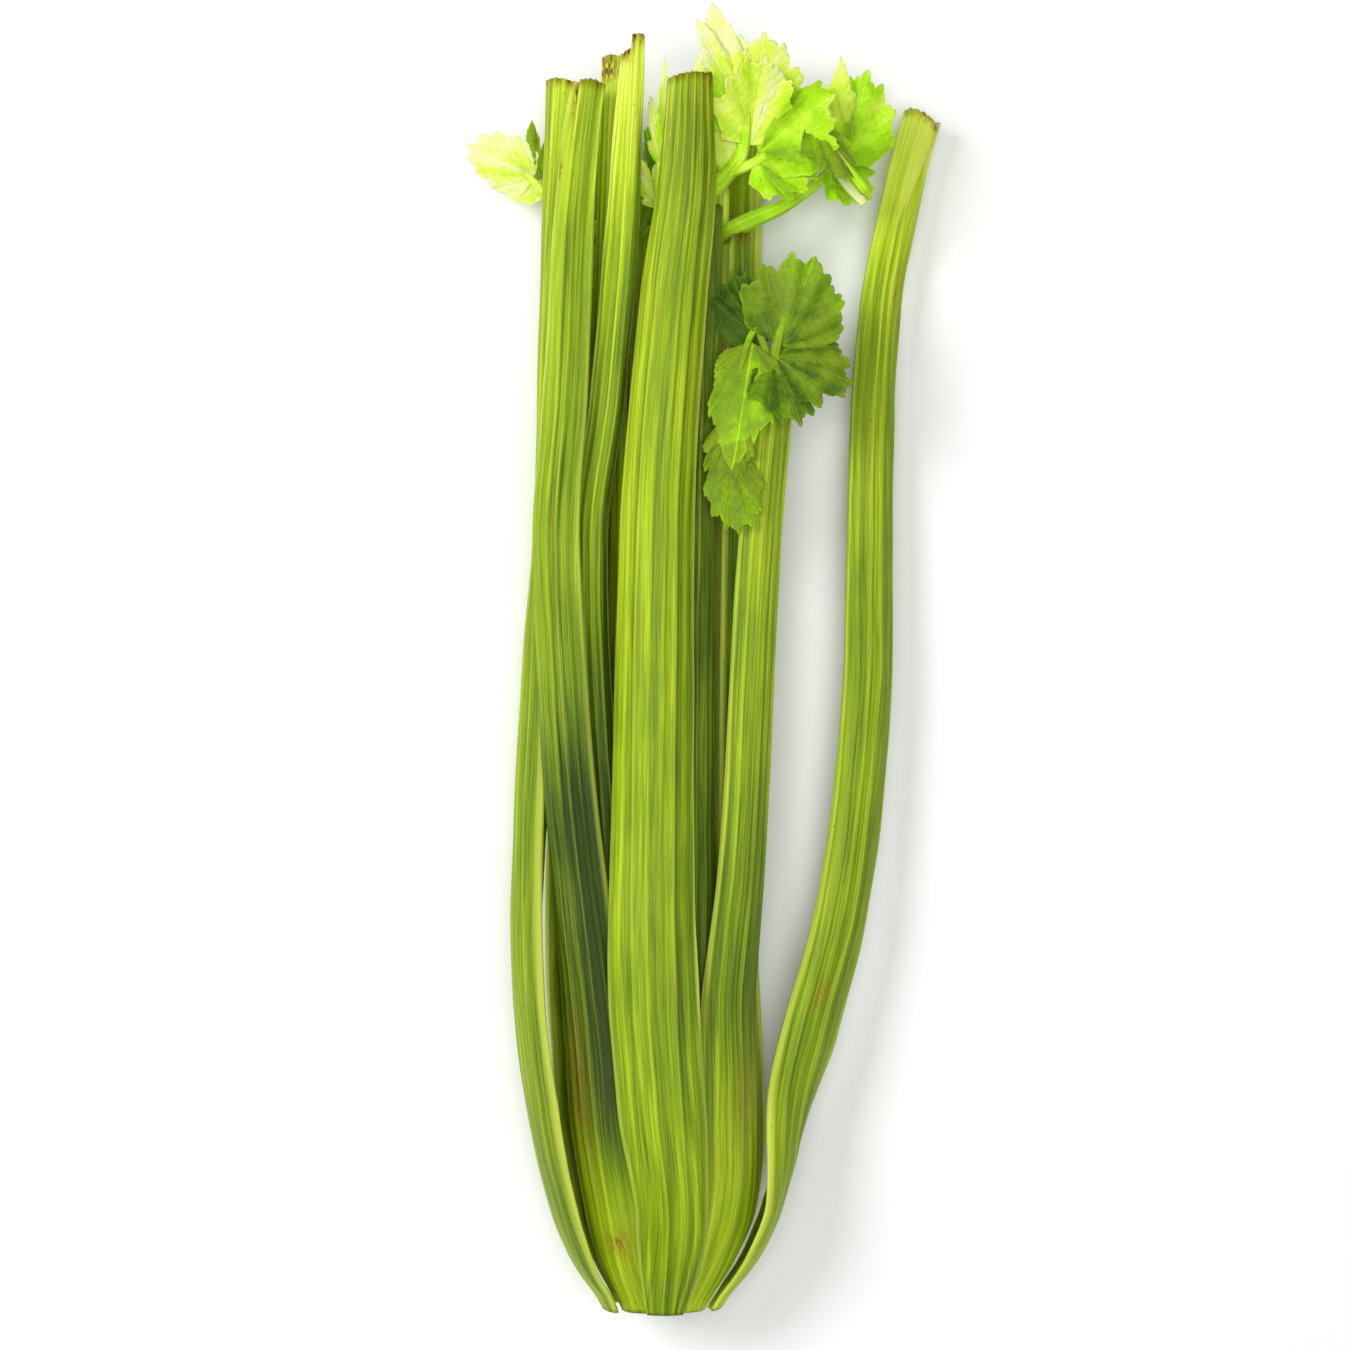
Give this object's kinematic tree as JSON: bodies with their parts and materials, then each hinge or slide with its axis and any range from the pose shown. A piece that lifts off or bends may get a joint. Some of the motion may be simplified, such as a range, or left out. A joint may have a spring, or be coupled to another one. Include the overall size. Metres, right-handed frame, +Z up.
{
  "type": "head of celery",
  "caption": "Fresh head of celery lying on its back: ribbed green stalks nested round a root plate, trimmed tops, one stalk splayed aside, young leaves.",
  "frame": {"origin": "on the surface the head lies on, under the middle of its bounding box", "axes": "+Y along the head from its cut butt to its leaf tips, +X to the right seen from above with the tips away, +Z up"},
  "size_m": [0.1356, 0.36, 0.0593],
  "materials": {
    "stalk_green": "fresh, slightly waxy, ribbed",
    "inner_stalk_green": "fresh, paler, slightly waxy",
    "leaf_green": "soft leaf, veined",
    "leaf_yellow_green": "soft young leaf, veined",
    "leaf_pale": "blanched leaf",
    "root_plate_tan": "dry cut face"
  },
  "bodies": {
    "root": {"root_plate": "root_plate_tan", "stalk_front": "stalk_green", "stalk_left": "stalk_green", "stalk_back_left": "stalk_green", "stalk_back_right": "stalk_green", "stalk_right_splayed": "stalk_green", "stalk_front_left": "stalk_green", "stalk_front_right": "stalk_green", "stalk_back": "stalk_green", "stalk_inner_tall": "inner_stalk_green", "stalk_inner_left": "inner_stalk_green", "stalk_inner_right": "inner_stalk_green", "stalk_inner_far_right": "inner_stalk_green", "stalk_inner_back_right": "inner_stalk_green", "stalk_inner_back_left": "inner_stalk_green", "stalk_inner_far_left": "inner_stalk_green", "heart_front": "inner_stalk_green", "heart_right": "inner_stalk_green", "heart_back": "inner_stalk_green", "heart_left": "inner_stalk_green", "leaf_top": "leaf_yellow_green", "leaf_right": "leaf_yellow_green", "leaf_heart_front": "leaf_yellow_green", "leaf_front_right": "leaf_green", "leaf_heart_back": "leaf_green", "leaf_heart_left": "leaf_green", "leaf_heart_right": "leaf_green", "leaf_left": "leaf_pale"}
  },
  "joints": []
}
